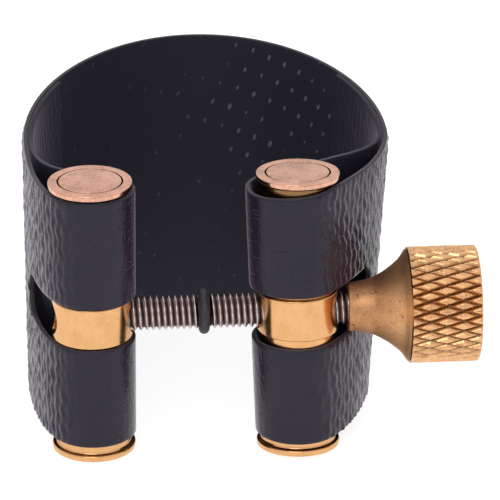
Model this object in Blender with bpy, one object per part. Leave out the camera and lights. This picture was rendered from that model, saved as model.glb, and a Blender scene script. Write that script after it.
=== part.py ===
"""Saxophone ligature: a leather strap that a thumb screw draws together between two turned brass posts.

Built in millimetres and scaled to metres when each mesh is made. +Z is up along the ring's axis, +Y points
from the posts to the back of the ring, +X points to the thumb screw's knob. The drawing's own zero is midway
between the posts; ORIGIN moves it to the middle of the object's footprint.
"""

import math

import bmesh
import bpy
from mathutils import Matrix, Vector

MM = 0.001

# Posts: two turned cores, each with a sleeve pushed onto either end.
POST_SPACING = 17.0
POST_LENGTH = 23.8
POST_LEAN = {"right": math.radians(3.7), "left": 0.0}
CORE_RADIUS = 2.58
COLLAR_RADIUS = 3.33
COLLAR_HEIGHT = 3.54
SLEEVE_BORE = 2.70
SLEEVE_RADIUS = 3.04
FLANGE_RADIUS = 3.47
FLANGE_THICKNESS = 0.52
SEAT_GAP = 0.02
EDGE_BREAK = 0.09
GROOVE_CHAMFER = 0.07

# Thumb screw: M3 rod, pressed into a knurled knob, with a rubber ring in a groove.
SCREW_RADIUS = 1.46
SCREW_TIP_X = -11.3
SCREW_TIP_CHAMFER = 0.25
SCREW_END_X = 20.6
SCREW_HOLE = {"right": 1.56, "left": 1.58}
KNOB_BORE = 1.48
KNOB_START_X = 12.6
KNOB_RIM_X = 17.6
KNOB_END_X = 23.35
KNOB_RADIUS = 4.82
KNOB_BEVEL = 0.22
NECK_PROFILE = ((12.6, 1.94), (12.68, 2.02), (13.2, 2.05), (14.36, 2.27), (15.02, 2.52), (15.97, 3.08),
                (16.92, 3.86), (17.42, 4.55))
RING_X = 0.7
RING_CORD = 0.88
RING_INNER_RADIUS = 1.02
GROOVE_RADIUS = 1.0
GROOVE_WIDTH = 1.0

# Strap: one band, wrapped round each post and glued back on itself inside the ring.
STRAP_THICKNESS = 0.4
GLUE_GAP = 0.03
HINGE_GAP = 0.06
LOOP_RADIUS = 3.3
RING_DEPTH_Y = 27.4
RING_SIDE_Y = 9.7
SIDE_X_TOP = {"right": 16.75, "left": 13.68}
SIDE_X_BOTTOM = {"right": 15.2, "left": 13.6}
WALL_LEAVES_LOOP = {"right": math.radians(-41), "left": math.radians(-35)}
FLAP_LEAVES_LOOP = {"right": math.radians(-254), "left": math.radians(-255)}
WALL_HANDLES = {"right": (4.0, 4.0), "left": (4.0, 3.0)}
FLAP_HANDLES = {"right": (4.2, 3.6), "left": (3.6, 4.7)}
LOOP_SLACK_TOP = {"right": 0.83, "left": 0.17}
FLAP_END_Y = 20.0
EDGE_TOP_FRONT = 23.1
EDGE_TOP_RISE = 3.0
EDGE_BOTTOM_FRONT = 1.35
EDGE_POWER = 1.3
LOOP_EDGE_DROP = {"right": 0.55, "left": 0.0}
NEAR_LOOP_RISE = 0.2

# Window in the strap that shows the collar and lets the screw through.
WINDOW_HALF_HEIGHT = {"right": 2.25, "left": 1.87}
WINDOW_WALL_END_Y = {"right": 4.6, "left": 6.0}
WINDOW_FLAP_PAST_LOOP = 2.4
WINDOW_END_HALF_HEIGHT = 0.5

ROUND = 48
ROD_ROUND = 32
RING_ROUND = 12
WALL_STEPS = 26
SIDE_STEPS = 20
LOOP_STEPS = 36
GLUED_STEPS = 10
SIDE_SIGN = {"right": 1.0, "left": -1.0}
SCREW_Z = POST_LENGTH / 2
HALF_SPACING = POST_SPACING / 2
FOOT_REACH = POST_LENGTH / 2 * math.cos(POST_LEAN["right"])
FOOT_DIP = (FLANGE_RADIUS - EDGE_BREAK) * math.sin(POST_LEAN["right"])
LOWEST_Z = SCREW_Z - FOOT_REACH - FOOT_DIP
ORIGIN = Vector(((KNOB_END_X - SIDE_X_TOP["left"]) / 2, (RING_DEPTH_Y - KNOB_RADIUS) / 2, LOWEST_Z))


def clear_scene():
    """Removes whatever the file holds."""
    for old in list(bpy.data.objects):
        bpy.data.objects.remove(old, do_unlink=True)


def make_material(name, colour, roughness, metallic):
    """One Principled material in the piece's own colour."""
    material = bpy.data.materials.new(name)
    material.use_nodes = True
    shader = material.node_tree.nodes["Principled BSDF"]
    shader.inputs["Base Color"].default_value = (*colour, 1.0)
    shader.inputs["Roughness"].default_value = roughness
    shader.inputs["Metallic"].default_value = metallic
    material.diffuse_color = (*colour, 1.0)
    return material


def make_joint_frame(name, place, axis=Vector((0.0, 0.0, 1.0))):
    """An empty on a joint's axis, which the moving pieces are parented to. place is in the drawing's mm."""
    empty = bpy.data.objects.new(name, None)
    turn = Vector((0.0, 0.0, 1.0)).rotation_difference(axis)
    empty.matrix_world = Matrix.Translation((place - ORIGIN) * MM) @ turn.to_matrix().to_4x4()
    bpy.context.scene.collection.objects.link(empty)
    return empty


def make_object(name, mesh_mm, material, joint_frame=None, sharp_angle=35):
    """Turns a bmesh in the drawing's mm into a node in metres, shaded smooth, parented to its joint."""
    bmesh.ops.recalc_face_normals(mesh_mm, faces=mesh_mm.faces)
    place = Matrix.Scale(MM, 4) @ Matrix.Translation(-ORIGIN)
    if joint_frame:
        place = joint_frame.matrix_world.inverted() @ place
    bmesh.ops.transform(mesh_mm, matrix=place, verts=mesh_mm.verts)
    mesh = bpy.data.meshes.new(name)
    mesh_mm.to_mesh(mesh)
    mesh_mm.free()
    mesh.shade_smooth()
    mesh.set_sharp_from_angle(angle=math.radians(sharp_angle))
    mesh.materials.append(material)
    node = bpy.data.objects.new(name, mesh)
    bpy.context.scene.collection.objects.link(node)
    if joint_frame:
        node.parent = joint_frame
    return node


def turn_profile(profile, segments=ROUND):
    """A solid of revolution about Z from a closed outline of (radius, height) points.

    A point at radius 0 becomes a single vertex on the axis."""
    turned = bmesh.new()
    rings = []
    for radius, height in profile:
        if radius == 0.0:
            rings.append([turned.verts.new((0.0, 0.0, height))] * segments)
            continue
        angles = (2 * math.pi * i / segments for i in range(segments))
        rings.append([turned.verts.new((radius * math.cos(a), radius * math.sin(a), height)) for a in angles])
    pairs = list(zip(rings, rings[1:]))
    if profile[0][0] > 0.0:
        pairs.append((rings[-1], rings[0]))
    for lower, upper in pairs:
        for i in range(segments):
            j = (i + 1) % segments
            corners = list(dict.fromkeys((lower[i], lower[j], upper[j], upper[i])))
            if len(corners) > 2:
                turned.faces.new(corners)
    return turned


def cut_hole_along_x(node, radius, length):
    """Cuts a round hole along X through the node, at the screw's height."""
    half = length / 2
    cutter_mesh = turn_profile(((0.0, -half), (radius, -half), (radius, half), (0.0, half)))
    bmesh.ops.transform(cutter_mesh, matrix=Matrix.Rotation(math.pi / 2, 4, "Y"), verts=cutter_mesh.verts)
    bmesh.ops.recalc_face_normals(cutter_mesh, faces=cutter_mesh.faces)
    bmesh.ops.scale(cutter_mesh, vec=(MM, MM, MM), verts=cutter_mesh.verts)
    mesh = bpy.data.meshes.new(node.name + "_hole")
    cutter_mesh.to_mesh(mesh)
    cutter_mesh.free()
    cutter = bpy.data.objects.new(node.name + "_hole", mesh)
    cutter.hide_render = True
    cutter.display_type = "WIRE"
    bpy.context.scene.collection.objects.link(cutter)
    cutter.parent = node.parent
    boolean = node.modifiers.new("screw_hole", "BOOLEAN")
    boolean.operation = "DIFFERENCE"
    boolean.solver = "EXACT"
    boolean.object = cutter


# --- posts -------------------------------------------------------------------------------------------------

def post_place(side):
    """Where the post's axis meets the screw's axis, in the drawing."""
    return Vector((SIDE_SIGN[side] * HALF_SPACING, 0.0, SCREW_Z))


def post_axis(side):
    """The post's own axis: upright, or leaning towards the back of the ring."""
    return Vector((0.0, math.sin(POST_LEAN[side]), math.cos(POST_LEAN[side])))


def set_on_post(turned, side):
    """Moves a profile turned about Z, centred on the screw's height, onto the post's axis."""
    lean = Matrix.Rotation(-POST_LEAN[side], 4, "X")
    bmesh.ops.transform(turned, matrix=Matrix.Translation(post_place(side)) @ lean, verts=turned.verts)
    return turned


def core_profile():
    """Half the outline of a core: plain ends with broken edges, and the collar in the middle."""
    end = POST_LENGTH / 2
    collar = COLLAR_HEIGHT / 2
    upper = [(COLLAR_RADIUS, collar - EDGE_BREAK), (COLLAR_RADIUS - EDGE_BREAK, collar),
             (CORE_RADIUS, collar), (CORE_RADIUS, end - GROOVE_CHAMFER),
             (CORE_RADIUS - GROOVE_CHAMFER, end), (0.0, end)]
    lower = [(radius, -height) for radius, height in reversed(upper)]
    return lower + upper


def sleeve_profile():
    """The outline of a top-hat sleeve: a thin tube on the core with a flange at the post's end."""
    start = COLLAR_HEIGHT / 2 + SEAT_GAP
    end = POST_LENGTH / 2
    return [(SLEEVE_BORE, start), (SLEEVE_RADIUS, start), (SLEEVE_RADIUS, end - FLANGE_THICKNESS),
            (FLANGE_RADIUS - EDGE_BREAK, end - FLANGE_THICKNESS),
            (FLANGE_RADIUS, end - FLANGE_THICKNESS + EDGE_BREAK),
            (FLANGE_RADIUS, end - EDGE_BREAK), (FLANGE_RADIUS - EDGE_BREAK, end),
            (SLEEVE_BORE + GROOVE_CHAMFER, end), (SLEEVE_BORE, end - GROOVE_CHAMFER)]


def build_post(side, brass, joint_frame):
    """The core with its cross hole, and the two sleeves that hold the strap's loop on it."""
    turned_core = set_on_post(turn_profile(core_profile()), side)
    core = make_object(f"{side}_post_core", turned_core, brass, joint_frame)
    cut_hole_along_x(core, SCREW_HOLE[side], 4 * COLLAR_RADIUS)
    upper = set_on_post(turn_profile(sleeve_profile()), side)
    make_object(f"{side}_upper_sleeve", upper, brass, joint_frame)
    flipped = [(radius, -height) for radius, height in sleeve_profile()]
    make_object(f"{side}_lower_sleeve", set_on_post(turn_profile(flipped), side), brass, joint_frame)


# --- thumb screw -------------------------------------------------------------------------------------------

def lay_along_x(turned):
    """Turns a profile made about Z so that it lies along X on the screw's axis."""
    turn = Matrix.Rotation(math.pi / 2, 4, "Y")
    bmesh.ops.transform(turned, matrix=Matrix.Translation((0.0, 0.0, SCREW_Z)) @ turn, verts=turned.verts)
    return turned


def screw_profile():
    """The rod from its chamfered tip to the end inside the knob, with the rubber ring's groove."""
    groove_start = RING_X - GROOVE_WIDTH / 2
    groove_end = RING_X + GROOVE_WIDTH / 2
    return [(0.0, SCREW_TIP_X), (SCREW_RADIUS - SCREW_TIP_CHAMFER, SCREW_TIP_X),
            (SCREW_RADIUS, SCREW_TIP_X + SCREW_TIP_CHAMFER),
            (SCREW_RADIUS, groove_start), (GROOVE_RADIUS, groove_start),
            (GROOVE_RADIUS, groove_end), (SCREW_RADIUS, groove_end),
            (SCREW_RADIUS, SCREW_END_X), (0.0, SCREW_END_X)]


def knob_profile():
    """The knob: a neck that flares like a trumpet into the grip, with a blind bore for the rod."""
    grip = [(KNOB_RADIUS, KNOB_RIM_X), (KNOB_RADIUS, KNOB_END_X - KNOB_BEVEL),
            (KNOB_RADIUS - KNOB_BEVEL, KNOB_END_X)]
    outside = [(radius, x) for x, radius in NECK_PROFILE] + grip + [(0.0, KNOB_END_X)]
    bore_end = SCREW_END_X + SEAT_GAP
    return [(0.0, bore_end), (KNOB_BORE, bore_end), (KNOB_BORE, KNOB_START_X)] + outside


def ring_profile():
    """The round cord of the rubber ring, as a small circle beside the axis."""
    middle = RING_INNER_RADIUS + RING_CORD / 2
    steps = [2 * math.pi * i / RING_ROUND for i in range(RING_ROUND)]
    return [(middle + RING_CORD / 2 * math.cos(a), RING_X + RING_CORD / 2 * math.sin(a)) for a in steps]


def build_thumb_screw(materials, joint_frame):
    """Rod, knob and rubber ring."""
    rod = lay_along_x(turn_profile(screw_profile(), ROD_ROUND))
    make_object("screw", rod, materials["steel"], joint_frame)
    knob = lay_along_x(turn_profile(knob_profile()))
    make_object("knob", knob, materials["knob_brass"], joint_frame)
    ring = lay_along_x(turn_profile(ring_profile(), ROD_ROUND))
    make_object("o_ring", ring, materials["rubber"], joint_frame)


# --- strap -------------------------------------------------------------------------------------------------
# The path runs in the plane of one height, with x counted outwards from the middle: from the back of the
# ring along the wall, round the post, and back along the inside of the wall.

def cubic(start, start_handle, end_handle, end, steps):
    """Points along a cubic curve, without its first point."""
    points = []
    for i in range(1, steps + 1):
        t = i / steps
        s = 1 - t
        near = s ** 3 * start + 3 * s * s * t * start_handle
        far = 3 * s * t * t * end_handle + t ** 3 * end
        points.append(near + far)
    return points


def side_x(side, height):
    """How far out the ring's side stands at this height, to its outer face."""
    fraction = height / EDGE_TOP_FRONT
    return SIDE_X_BOTTOM[side] + (SIDE_X_TOP[side] - SIDE_X_BOTTOM[side]) * fraction


def wall_oval(side, height, inset):
    """Centre x and the two half axes of the oval that the ring's wall follows, inset from its outer face."""
    centre = SIDE_SIGN[side] * (side_x("right", height) - side_x("left", height)) / 2
    half_width = (side_x("right", height) + side_x("left", height)) / 2
    return centre, half_width - inset, RING_DEPTH_Y - RING_SIDE_Y - inset


def oval_points(side, height, inset, first_angle, last_angle, steps):
    """Points on the wall's oval from one angle to another, counted from straight outwards."""
    centre, half_width, half_depth = wall_oval(side, height, inset)
    points = []
    for i in range(steps + 1):
        angle = first_angle + (last_angle - first_angle) * i / steps
        x = centre + half_width * math.cos(angle)
        points.append(Vector((x, RING_SIDE_Y + half_depth * math.sin(angle))))
    return points


def loop_point(side, height, angle):
    """A point of the loop round the post. The loop stands off the post on its inner side, most at the top."""
    lean = math.tan(POST_LEAN[side]) * (height - SCREW_Z)
    slack = LOOP_SLACK_TOP[side] * height / EDGE_TOP_FRONT * max(0.0, -math.cos(angle)) ** 2
    radius = LOOP_RADIUS + slack
    return Vector((HALF_SPACING + radius * math.cos(angle), lean + radius * math.sin(angle)))


def along(angle):
    """The direction of travel round the loop at this angle, clockwise."""
    return Vector((math.sin(angle), -math.cos(angle)))


def strap_path(side, height):
    """The strap's centre line at one height, from the back of the ring to the end of the glued flap."""
    middle = STRAP_THICKNESS / 2
    centre, half_width, _ = wall_oval(side, height, middle)
    split_angle = math.acos((HINGE_GAP / 2 - centre) / half_width)
    points = oval_points(side, height, middle, split_angle, 0.0, WALL_STEPS)
    leave, flap = WALL_LEAVES_LOOP[side], FLAP_LEAVES_LOOP[side]
    down, out = WALL_HANDLES[side]
    wall_side, loop_start = points[-1], loop_point(side, height, leave)
    bend = (wall_side - Vector((0, down)), loop_start - out * along(leave))
    points += cubic(wall_side, *bend, loop_start, SIDE_STEPS)
    turns = [leave + (flap - leave) * i / LOOP_STEPS for i in range(1, LOOP_STEPS + 1)]
    points += [loop_point(side, height, angle) for angle in turns]
    inset = middle + STRAP_THICKNESS + GLUE_GAP
    glued = oval_points(side, height, inset, 0.0, flap_end_angle(), GLUED_STEPS)
    back, down = FLAP_HANDLES[side]
    bend = (points[-1] + back * along(flap), glued[0] - Vector((0, down)))
    points += cubic(points[-1], *bend, glued[0], SIDE_STEPS)
    return points + glued[1:]


def flap_end_angle():
    """The oval's angle at which the glued flap ends."""
    return math.asin((FLAP_END_Y - RING_SIDE_Y) / (RING_DEPTH_Y - RING_SIDE_Y))


def side_normals(points):
    """The unit normal at each point of a path, to the left of its direction of travel."""
    normals = []
    for i in range(len(points)):
        travel = points[min(i + 1, len(points) - 1)] - points[max(i - 1, 0)]
        normals.append(Vector((-travel.y, travel.x)).normalized())
    return normals


def edge_rise(y):
    """0 at the front of the ring to 1 at its back, gently at first."""
    front = LOOP_RADIUS
    return min(1.0, max(0.0, (y - front) / (RING_DEPTH_Y - front))) ** EDGE_POWER


def edge_heights(side, point):
    """The strap's lower and upper edge where its centre line passes this point."""
    rise = edge_rise(point.y)
    near_loop = max(0.0, 1 - abs(point.x - HALF_SPACING + LOOP_RADIUS) / (2 * LOOP_RADIUS))
    top = EDGE_TOP_FRONT + EDGE_TOP_RISE * rise - LOOP_EDGE_DROP[side] * near_loop * (rise < NEAR_LOOP_RISE)
    return EDGE_BOTTOM_FRONT + (LOWEST_Z - EDGE_BOTTOM_FRONT) * rise, top


def path_lengths(points):
    """The distance along the path to each point."""
    lengths = [0.0]
    for before, after in zip(points, points[1:]):
        lengths.append(lengths[-1] + (after - before).length)
    return lengths


def window_half_heights(side, points):
    """The window's half height at each column of the strap, or None where the strap is whole."""
    lengths = path_lengths(points)
    first = next(i for i, p in enumerate(points) if p.y < WINDOW_WALL_END_Y[side])
    loop_end = WALL_STEPS + SIDE_STEPS + LOOP_STEPS
    window_end = lengths[loop_end] + WINDOW_FLAP_PAST_LOOP
    last = next(i for i in range(loop_end, len(points)) if lengths[i] > window_end)
    full = WINDOW_HALF_HEIGHT[side]
    heights = []
    for i in range(len(points)):
        inside = min(lengths[i] - lengths[first], lengths[last] - lengths[i])
        if inside < 0:
            heights.append(None)
            continue
        reach = min(inside, full)
        round_end = math.sqrt(max(0.0, full ** 2 - (full - reach) ** 2))
        heights.append(max(WINDOW_END_HALF_HEIGHT, round_end))
    return heights


def build_strap(side, leather, joint_frame=None):
    """Half of the strap as a thick ribbon: four heights in each column, with the window's cells left open."""
    middle_path = strap_path(side, SCREW_Z)
    windows = window_half_heights(side, middle_path)
    outline = []
    for i, point in enumerate(middle_path):
        low, high = edge_heights(side, point)
        half = windows[i] or WINDOW_END_HALF_HEIGHT
        outline.append((low, SCREW_Z - half, SCREW_Z + half, high))
    strap = bmesh.new()
    faces_out = [[None] * len(middle_path) for _ in range(4)]
    faces_in = [[None] * len(middle_path) for _ in range(4)]
    for i, heights in enumerate(outline):
        for level, height in enumerate(heights):
            path = strap_path(side, height)
            normal = side_normals(path)[i]
            for row, sign in ((faces_out, 1), (faces_in, -1)):
                flat = path[i] + normal * sign * STRAP_THICKNESS / 2
                row[level][i] = strap.verts.new((SIDE_SIGN[side] * flat.x, flat.y, height))
    skin_ribbon(strap, faces_out, faces_in, windows)
    return make_object(f"strap_{side}", strap, leather, joint_frame, sharp_angle=50)


def skin_ribbon(strap, outer, inner, windows):
    """Faces for the ribbon: both sides, then the walls wherever a filled cell meets an open one."""
    columns = len(windows) - 1
    filled = {(i, level) for i in range(columns) for level in range(3)
              if level != 1 or windows[i] is None or windows[i + 1] is None}
    for i, level in filled:
        for grid in (outer, inner):
            strap.faces.new((grid[level][i], grid[level][i + 1], grid[level + 1][i + 1], grid[level + 1][i]))
        borders = (((i - 1, level), (level, i), (level + 1, i)),
                   ((i + 1, level), (level, i + 1), (level + 1, i + 1)),
                   ((i, level - 1), (level, i), (level, i + 1)),
                   ((i, level + 1), (level + 1, i), (level + 1, i + 1)))
        for neighbour, (a_level, a), (b_level, b) in borders:
            if neighbour not in filled:
                strap.faces.new((outer[a_level][a], outer[b_level][b], inner[b_level][b], inner[a_level][a]))


def main():
    """Builds every piece."""
    clear_scene()
    materials = {"brass": make_material("brass", (0.78, 0.50, 0.30), 0.3, 1.0),
                 "knob_brass": make_material("knob_brass", (0.62, 0.38, 0.14), 0.3, 1.0),
                 "steel": make_material("steel", (0.55, 0.52, 0.52), 0.3, 1.0),
                 "rubber": make_material("rubber", (0.02, 0.02, 0.02), 0.7, 0.0),
                 "leather": make_material("leather", (0.035, 0.03, 0.045), 0.5, 0.0)}
    hinge_place = Vector((0.0, RING_DEPTH_Y - STRAP_THICKNESS / 2, 0.0))
    flex = make_joint_frame("strap_flex_axis", hinge_place)
    build_strap("right", materials["leather"])
    build_strap("left", materials["leather"], flex)
    for side in ("right", "left"):
        swivel = make_joint_frame(f"{side}_post_axis", post_place(side), post_axis(side))
        build_post(side, materials["brass"], swivel)
    screw_axis = make_joint_frame("screw_axis", Vector((RING_X, 0.0, SCREW_Z)), Vector((-1.0, 0.0, 0.0)))
    build_thumb_screw(materials, screw_axis)


main()
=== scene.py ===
"""The looks of a saxophone ligature: a leatherette strap whose two posts a thumb screw draws together.

Every mesh is made in the maker's drawing, in millimetres: zero is midway between the posts at the left
foot, +Z up along the ring's axis, +Y to the back of the ring and +X to the thumb screw's knob. Drawing
carries it into the frame's metres.
"""

import logging
import math
from collections.abc import Callable, Sequence
from dataclasses import dataclass
from enum import Enum
from functools import cached_property

import bmesh
import bpy
import numpy as np
from mathutils import Matrix, Vector, noise


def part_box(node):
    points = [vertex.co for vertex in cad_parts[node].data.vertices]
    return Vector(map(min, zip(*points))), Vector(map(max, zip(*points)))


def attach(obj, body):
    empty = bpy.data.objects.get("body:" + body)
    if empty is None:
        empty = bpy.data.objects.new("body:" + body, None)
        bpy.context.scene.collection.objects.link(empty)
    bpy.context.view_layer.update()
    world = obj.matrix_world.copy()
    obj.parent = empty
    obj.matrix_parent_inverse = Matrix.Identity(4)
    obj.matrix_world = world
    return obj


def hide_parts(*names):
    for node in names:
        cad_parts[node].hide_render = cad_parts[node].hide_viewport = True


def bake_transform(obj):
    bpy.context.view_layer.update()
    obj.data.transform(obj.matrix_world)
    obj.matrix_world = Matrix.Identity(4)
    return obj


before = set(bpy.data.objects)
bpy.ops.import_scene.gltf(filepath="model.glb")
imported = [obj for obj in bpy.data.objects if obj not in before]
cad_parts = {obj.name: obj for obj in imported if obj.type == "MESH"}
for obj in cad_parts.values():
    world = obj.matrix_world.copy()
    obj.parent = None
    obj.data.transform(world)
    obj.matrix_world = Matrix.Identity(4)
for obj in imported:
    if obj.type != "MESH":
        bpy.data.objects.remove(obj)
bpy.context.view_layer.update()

LOG = logging.getLogger("ligature")
MM = 0.001
WELD = 0.002
PLACE = "place"
QUARTER_TURN = Matrix.Rotation(math.pi / 2, 4, "Y")

POST_LENGTH = 23.8
SCREW_Z = POST_LENGTH / 2
RIGHT_LEAN = math.radians(3.7)

Colour = tuple[float, float, float]
Triple = tuple[float, float, float]
Outline = list[tuple[float, float]]


class Side(Enum):
    """The two halves of the ligature; the value is the sign of x."""

    RIGHT = 1.0
    LEFT = -1.0

    @property
    def word(self) -> str:
        """The side's word in the names of bodies and nodes."""
        return self.name.lower()


# --- the drawing and mesh work --------------------------------------------------------------------


@dataclass(frozen=True)
class Drawing:
    """Carries the drawing's millimetres into the frame's metres.

    Attributes:
        zero: Where the drawing's zero lies in the frame, in millimetres.
        half_spacing: Half the distance between the posts' axes, in millimetres.
    """

    zero: Vector
    half_spacing: float

    @classmethod
    def from_frame(cls) -> "Drawing":
        """Reads the posts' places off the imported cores.

        Returns:
            The drawing of this frame.
        """
        left = sum(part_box("left_post_core"), Vector()) / 2 / MM
        right = sum(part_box("right_post_core"), Vector()) / 2 / MM
        half_spacing = (right.x - left.x) / 2
        return cls(left + Vector((half_spacing, 0.0, -SCREW_Z)), half_spacing)

    @property
    def matrix(self) -> Matrix:
        """From drawing millimetres to frame metres."""
        return Matrix.Scale(MM, 4) @ Matrix.Translation(self.zero)

    def point(self, x: float, y: float, z: float) -> Vector:
        """The frame's point, in metres, for a point of the drawing."""
        return self.matrix @ Vector((x, y, z))

    def screw_axis(self) -> Matrix:
        """From millimetres about the screw's axis, with local z along +X, to frame metres."""
        return self.matrix @ Matrix.Translation((0.0, 0.0, SCREW_Z)) @ QUARTER_TURN

    def post_axis(self, side: Side, lean: float) -> Matrix:
        """From millimetres about a post's axis, with local zero at the screw's height, to frame metres.

        Args:
            side: Which post.
            lean: How far the post's top leans to the back, in radians.

        Returns:
            The matrix.
        """
        middle = Matrix.Translation((side.value * self.half_spacing, 0.0, SCREW_Z))
        return self.matrix @ middle @ Matrix.Rotation(-lean, 4, "X")


def make_piece(name: str, mesh: bpy.types.Mesh, to_frame: Matrix, material: bpy.types.Material,
               places: np.ndarray | None = None, sharp_degrees: float = 40.0) -> bpy.types.Object:
    """Makes a visible object of a mesh in millimetres.

    Args:
        name: The piece's name.
        mesh: The mesh, in millimetres about its own axis or in the drawing.
        to_frame: From the mesh's millimetres to frame metres.
        material: The finish.
        places: For each vertex, where the finish's pattern counts it to be; its own place if not given.
        sharp_degrees: Edges that turn more than this stay sharp.

    Returns:
        The new object, in the scene.
    """
    if places is None:
        places = np.empty(len(mesh.vertices) * 3, np.float32)
        mesh.vertices.foreach_get("co", places)
    attribute = mesh.attributes.new(PLACE, "FLOAT_VECTOR", "POINT")
    attribute.data.foreach_set("vector", np.asarray(places, np.float32).ravel())
    mesh.transform(to_frame)
    mesh.name = name
    mesh.shade_smooth()
    mesh.set_sharp_from_angle(angle=math.radians(sharp_degrees))
    mesh.materials.clear()
    mesh.materials.append(material)
    piece = bpy.data.objects.new(name, mesh)
    bpy.context.scene.collection.objects.link(piece)
    return piece


def finish_mesh(work: bmesh.types.BMesh) -> bpy.types.Mesh:
    """Closes a bmesh: doubled points welded, faces all turned out, and written to a new mesh.

    Args:
        work: The bmesh, which is used up.

    Returns:
        The mesh.
    """
    bmesh.ops.remove_doubles(work, verts=work.verts, dist=WELD)
    bmesh.ops.dissolve_degenerate(work, edges=work.edges, dist=WELD)
    bmesh.ops.recalc_face_normals(work, faces=work.faces)
    mesh = bpy.data.meshes.new("made")
    work.to_mesh(mesh)
    work.free()
    return mesh


def turn(outline: Sequence[tuple[float, float]], segments: int,
         radius_at: Callable[[float, float, float], float] | None = None) -> bpy.types.Mesh:
    """Turns an outline about local z.

    Args:
        outline: (radius, height) points; the first and last are joined unless they are on the axis.
        segments: Steps round the axis.
        radius_at: The real radius, from the outline's radius, the height and the angle.

    Returns:
        The closed mesh.
    """
    work = bmesh.new()
    rings = []
    for radius, height in outline:
        if radius == 0.0:
            rings.append([work.verts.new((0.0, 0.0, height))] * segments)
            continue
        ring = []
        for i in range(segments):
            angle = 2 * math.pi * i / segments
            real = radius_at(radius, height, angle) if radius_at else radius
            ring.append(work.verts.new((real * math.cos(angle), real * math.sin(angle), height)))
        rings.append(ring)
    pairs = list(zip(rings, rings[1:]))
    if outline[0][0] > 0.0:
        pairs.append((rings[-1], rings[0]))
    for lower, upper in pairs:
        for i in range(segments):
            j = (i + 1) % segments
            corners = list(dict.fromkeys((lower[i], lower[j], upper[j], upper[i])))
            if len(corners) > 2:
                work.faces.new(corners)
    return finish_mesh(work)


def rounded(corners: Sequence[tuple[float, float, float]], steps: int = 4) -> Outline:
    """An outline with its corners rounded.

    Args:
        corners: (radius, height, how far back from the corner the rounding starts).
        steps: Steps along each rounding.

    Returns:
        The outline's points.
    """
    points: Outline = []
    for i, (radius, height, cut) in enumerate(corners):
        here = Vector((radius, height))
        if cut == 0.0:
            points.append((radius, height))
            continue
        before = Vector(corners[i - 1][:2]) - here
        after = Vector(corners[(i + 1) % len(corners)][:2]) - here
        start = here + before.normalized() * cut
        end = here + after.normalized() * cut
        for step in range(steps + 1):
            t = step / steps
            point = (1 - t) ** 2 * start + 2 * t * (1 - t) * here + t * t * end
            points.append((point.x, point.y))
    return points


def smooth_line(points: Sequence[tuple[float, float]], steps: int) -> Outline:
    """A smooth curve through the points.

    Args:
        points: The points that it passes through.
        steps: Steps between two points.

    Returns:
        The curve's points, both ends among them.
    """
    knots = [Vector(p) for p in points]
    knots = [2 * knots[0] - knots[1]] + knots + [2 * knots[-1] - knots[-2]]
    line: Outline = []
    for a, b, c, d in zip(knots, knots[1:], knots[2:], knots[3:]):
        for step in range(steps):
            t = step / steps
            point = b + 0.5 * t * (c - a + t * (2 * a - 5 * b + 4 * c - d + t * (3 * (b - c) + d - a)))
            line.append((point.x, point.y))
    line.append(tuple(knots[-2]))
    return line


def drilled(mesh: bpy.types.Mesh, radius: float, length: float, segments: int) -> bpy.types.Mesh:
    """Cuts a round hole along local x through a turned mesh.

    Args:
        mesh: The mesh in millimetres.
        radius: The hole's radius.
        length: The drill's length, more than the mesh is wide.
        segments: Steps round the hole.

    Returns:
        A new mesh with the hole.
    """
    half = length / 2
    drill_mesh = turn([(0.0, -half), (radius, -half), (radius, half), (0.0, half)], segments)
    drill_mesh.transform(QUARTER_TURN)
    drill = bpy.data.objects.new("drill", drill_mesh)
    blank = bpy.data.objects.new("blank", mesh)
    for item in (drill, blank):
        bpy.context.scene.collection.objects.link(item)
    cut = blank.modifiers.new("hole", "BOOLEAN")
    cut.operation = "DIFFERENCE"
    cut.solver = "EXACT"
    cut.object = drill
    work = bmesh.new()
    work.from_object(blank, bpy.context.evaluated_depsgraph_get())
    for item in (drill, blank):
        bpy.data.objects.remove(item, do_unlink=True)
    return finish_mesh(work)


# --- shaders --------------------------------------------------------------------------------------


class Link:
    """A shader socket that adds Math nodes when it is used in an expression of numbers."""

    def __init__(self, shader: "Shader", socket: bpy.types.NodeSocket) -> None:
        """Wraps an output socket of the shader's tree."""
        self.shader = shader
        self.socket = socket

    def _math(self, operation: str, first: "Link | float", second: "Link | float") -> "Link":
        """One Math node on two values."""
        values = {"Value": first, "Value_001": second}
        return self.shader.add("ShaderNodeMath", {"operation": operation}, values)

    def __add__(self, other: "Link | float") -> "Link":
        """self + other."""
        return self._math("ADD", self, other)

    def __radd__(self, other: float) -> "Link":
        """other + self."""
        return self._math("ADD", other, self)

    def __sub__(self, other: "Link | float") -> "Link":
        """self - other."""
        return self._math("SUBTRACT", self, other)

    def __rsub__(self, other: float) -> "Link":
        """other - self."""
        return self._math("SUBTRACT", other, self)

    def __mul__(self, other: "Link | float") -> "Link":
        """self * other."""
        return self._math("MULTIPLY", self, other)

    def __rmul__(self, other: float) -> "Link":
        """other * self."""
        return self._math("MULTIPLY", other, self)

    def __truediv__(self, other: "Link | float") -> "Link":
        """self / other."""
        return self._math("DIVIDE", self, other)

    def __rtruediv__(self, other: float) -> "Link":
        """other / self."""
        return self._math("DIVIDE", other, self)

    def __pow__(self, other: "Link | float") -> "Link":
        """self ** other."""
        return self._math("POWER", self, other)

    def __rpow__(self, other: float) -> "Link":
        """other ** self."""
        return self._math("POWER", other, self)

    def apply(self, operation: str) -> "Link":
        """A Math node with one input, such as ABSOLUTE, FRACT, SINE or SQRT."""
        return self.shader.add("ShaderNodeMath", {"operation": operation}, {"Value": self})


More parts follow.
